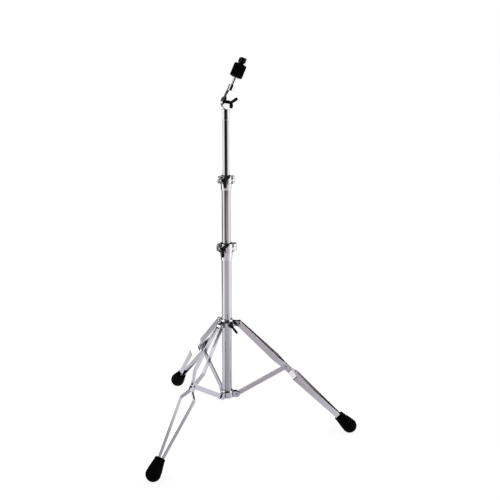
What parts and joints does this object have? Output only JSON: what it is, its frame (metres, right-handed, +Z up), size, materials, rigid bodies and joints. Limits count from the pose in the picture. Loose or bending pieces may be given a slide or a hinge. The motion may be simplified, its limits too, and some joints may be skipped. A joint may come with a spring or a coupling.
{
  "type": "straight cymbal stand",
  "caption": "Free-standing straight cymbal stand: folding tripod, telescoping tubes with clamps, and a toothed tilter that carries the cymbal rod, felts and wing nut.",
  "frame": {"origin": "on the floor, under the centre of the stand's bounding box", "axes": "+Z up along the tubes, +X to the picture's right, +Y away from the picture's viewer"},
  "size_m": [0.6029, 0.6678, 1.0912],
  "materials": {
    "chromed_steel": "mirror-bright chrome plating",
    "black_metal": "gloss black on cast wing screws",
    "black_nylon": "satin moulded nylon",
    "black_rubber": "matt moulded rubber",
    "black_felt": "pressed wool felt"
  },
  "bodies": {
    "base": {"base_tube": "chromed_steel", "brace_collar": "chromed_steel", "collar_drive_pin": "chromed_steel", "right_brace_pin": "chromed_steel", "front_brace_pin": "chromed_steel", "rear_brace_pin": "chromed_steel", "lower_clamp_body": "chromed_steel", "lower_clamp_hinge_pin": "chromed_steel"},
    "leg_collar": {"leg_collar": "chromed_steel"},
    "leg_collar_screw": {"leg_collar_wing_screw": "black_metal"},
    "right_leg": {"right_leg_bar_left": "chromed_steel", "right_leg_bar_right": "chromed_steel", "right_leg_joint_rivet_left": "chromed_steel", "right_leg_joint_rivet_right": "chromed_steel", "right_leg_top_pin": "chromed_steel", "right_leg_end_rivet": "chromed_steel", "right_foot": "black_rubber"},
    "front_leg": {"front_leg_bar_left": "chromed_steel", "front_leg_bar_right": "chromed_steel", "front_leg_joint_rivet_left": "chromed_steel", "front_leg_joint_rivet_right": "chromed_steel", "front_leg_top_pin": "chromed_steel", "front_leg_end_rivet": "chromed_steel", "front_foot": "black_rubber"},
    "rear_leg": {"rear_leg_bar_left": "chromed_steel", "rear_leg_bar_right": "chromed_steel", "rear_leg_joint_rivet_left": "chromed_steel", "rear_leg_joint_rivet_right": "chromed_steel", "rear_leg_top_pin": "chromed_steel", "rear_leg_end_rivet": "chromed_steel", "rear_foot": "black_rubber"},
    "right_brace": {"right_brace": "chromed_steel"},
    "front_brace": {"front_brace": "chromed_steel"},
    "rear_brace": {"rear_brace": "chromed_steel"},
    "lower_jaw": {"lower_clamp_jaw": "chromed_steel"},
    "lower_screw": {"lower_clamp_wing_screw": "black_metal"},
    "lower_bush": {"lower_clamp_bush": "black_nylon"},
    "middle_tube": {"middle_tube": "chromed_steel", "upper_clamp_body": "chromed_steel", "upper_clamp_hinge_pin": "chromed_steel"},
    "upper_jaw": {"upper_clamp_jaw": "chromed_steel"},
    "upper_screw": {"upper_clamp_wing_screw": "black_metal"},
    "upper_bush": {"upper_clamp_bush": "black_nylon"},
    "upper_tube": {"upper_tube": "chromed_steel", "tilter_base": "chromed_steel", "tilter_nut": "chromed_steel"},
    "tilter_arm": {"tilter_arm": "chromed_steel", "cymbal_rod": "chromed_steel", "cymbal_sleeve": "black_nylon", "lower_felt": "black_felt", "upper_felt": "black_felt"},
    "tilter_bolt": {"tilter_wing_bolt": "black_metal"},
    "wing_nut": {"top_wing_nut": "black_metal"}
  },
  "joints": [
    {"name": "leg_collar_slide", "type": "slide", "parent": "base", "child": "leg_collar", "axis": [0, 0, 1], "range_m": [0, 0.137]},
    {"name": "leg_collar_screw_turn", "type": "hinge", "parent": "leg_collar", "child": "leg_collar_screw", "pos_m": [-0.0658, -0.03319, 0.33814], "axis": [0.4462, -0.8949, 0], "continuous": true},
    {"name": "right_leg_fold", "type": "hinge", "parent": "leg_collar", "child": "right_leg", "pos_m": [-0.04115, -0.01274, 0.33814], "axis": [0.061, 0.9981, 0], "range_deg": [0, 45.7]},
    {"name": "front_leg_fold", "type": "hinge", "parent": "leg_collar", "child": "front_leg", "pos_m": [-0.09696, -0.04057, 0.33814], "axis": [0.8339, -0.5519, 0], "range_deg": [0, 45.7]},
    {"name": "rear_leg_fold", "type": "hinge", "parent": "leg_collar", "child": "rear_leg", "pos_m": [-0.09315, 0.02167, 0.33814], "axis": [-0.8949, -0.4462, 0], "range_deg": [0, 45.7]},
    {"name": "right_brace_fold", "type": "hinge", "parent": "base", "child": "right_brace", "pos_m": [-0.04814, -0.01232, 0.1174], "axis": [0.061, 0.9981, 0], "range_deg": [-56, 0]},
    {"name": "front_brace_fold", "type": "hinge", "parent": "base", "child": "front_brace", "pos_m": [-0.09309, -0.03473, 0.1174], "axis": [0.8339, -0.5519, 0], "range_deg": [-56, 0]},
    {"name": "rear_brace_fold", "type": "hinge", "parent": "base", "child": "rear_brace", "pos_m": [-0.09003, 0.01541, 0.1174], "axis": [-0.8949, -0.4462, 0], "range_deg": [-56, 0]},
    {"name": "lower_jaw_open", "type": "hinge", "parent": "base", "child": "lower_jaw", "pos_m": [-0.05717, 0.00095, 0.566], "axis": [0, 0, 1], "range_deg": [0, 3]},
    {"name": "lower_screw_turn", "type": "hinge", "parent": "lower_jaw", "child": "lower_screw", "pos_m": [-0.09019, -0.02885, 0.566], "axis": [0.5, -0.866, 0], "continuous": true},
    {"name": "middle_tube_turn", "type": "hinge", "parent": "base", "child": "lower_bush", "pos_m": [-0.07709, -0.01055, 0.566], "axis": [0, 0, 1], "continuous": true},
    {"name": "middle_tube_slide", "type": "slide", "parent": "lower_bush", "child": "middle_tube", "axis": [0, 0, 1], "range_m": [-0.15, 0.17]},
    {"name": "upper_jaw_open", "type": "hinge", "parent": "middle_tube", "child": "upper_jaw", "pos_m": [-0.06138, 0.00263, 0.76115], "axis": [0, 0, 1], "range_deg": [0, 3]},
    {"name": "upper_screw_turn", "type": "hinge", "parent": "upper_jaw", "child": "upper_screw", "pos_m": [-0.08593, -0.0288, 0.76115], "axis": [0.6428, -0.766, 0], "continuous": true},
    {"name": "upper_tube_turn", "type": "hinge", "parent": "middle_tube", "child": "upper_bush", "pos_m": [-0.07709, -0.01055, 0.76115], "axis": [0, 0, 1], "continuous": true},
    {"name": "upper_tube_slide", "type": "slide", "parent": "upper_bush", "child": "upper_tube", "axis": [0, 0, 1], "range_m": [-0.15, 0.145]},
    {"name": "tilter_tilt", "type": "hinge", "parent": "upper_tube", "child": "tilter_arm", "pos_m": [-0.07709, -0.01055, 0.9759], "axis": [0.6428, -0.766, 0], "range_deg": [-60.4, 119.6]},
    {"name": "tilter_bolt_turn", "type": "hinge", "parent": "upper_tube", "child": "tilter_bolt", "pos_m": [-0.07027, -0.01867, 0.9759], "axis": [0.6428, -0.766, 0], "continuous": true},
    {"name": "wing_nut_turn", "type": "hinge", "parent": "tilter_arm", "child": "wing_nut", "pos_m": [-0.03637, 0.02362, 1.06946], "axis": [0.3784, 0.3175, 0.8695], "continuous": true}
  ],
  "couplings": [
    {"joint": "right_leg_fold", "follows": "leg_collar_slide", "rad_per_m": 5.8208},
    {"joint": "front_leg_fold", "follows": "leg_collar_slide", "rad_per_m": 5.8208},
    {"joint": "rear_leg_fold", "follows": "leg_collar_slide", "rad_per_m": 5.8208},
    {"joint": "right_brace_fold", "follows": "leg_collar_slide", "rad_per_m": -7.1312},
    {"joint": "front_brace_fold", "follows": "leg_collar_slide", "rad_per_m": -7.1312},
    {"joint": "rear_brace_fold", "follows": "leg_collar_slide", "rad_per_m": -7.1312}
  ]
}
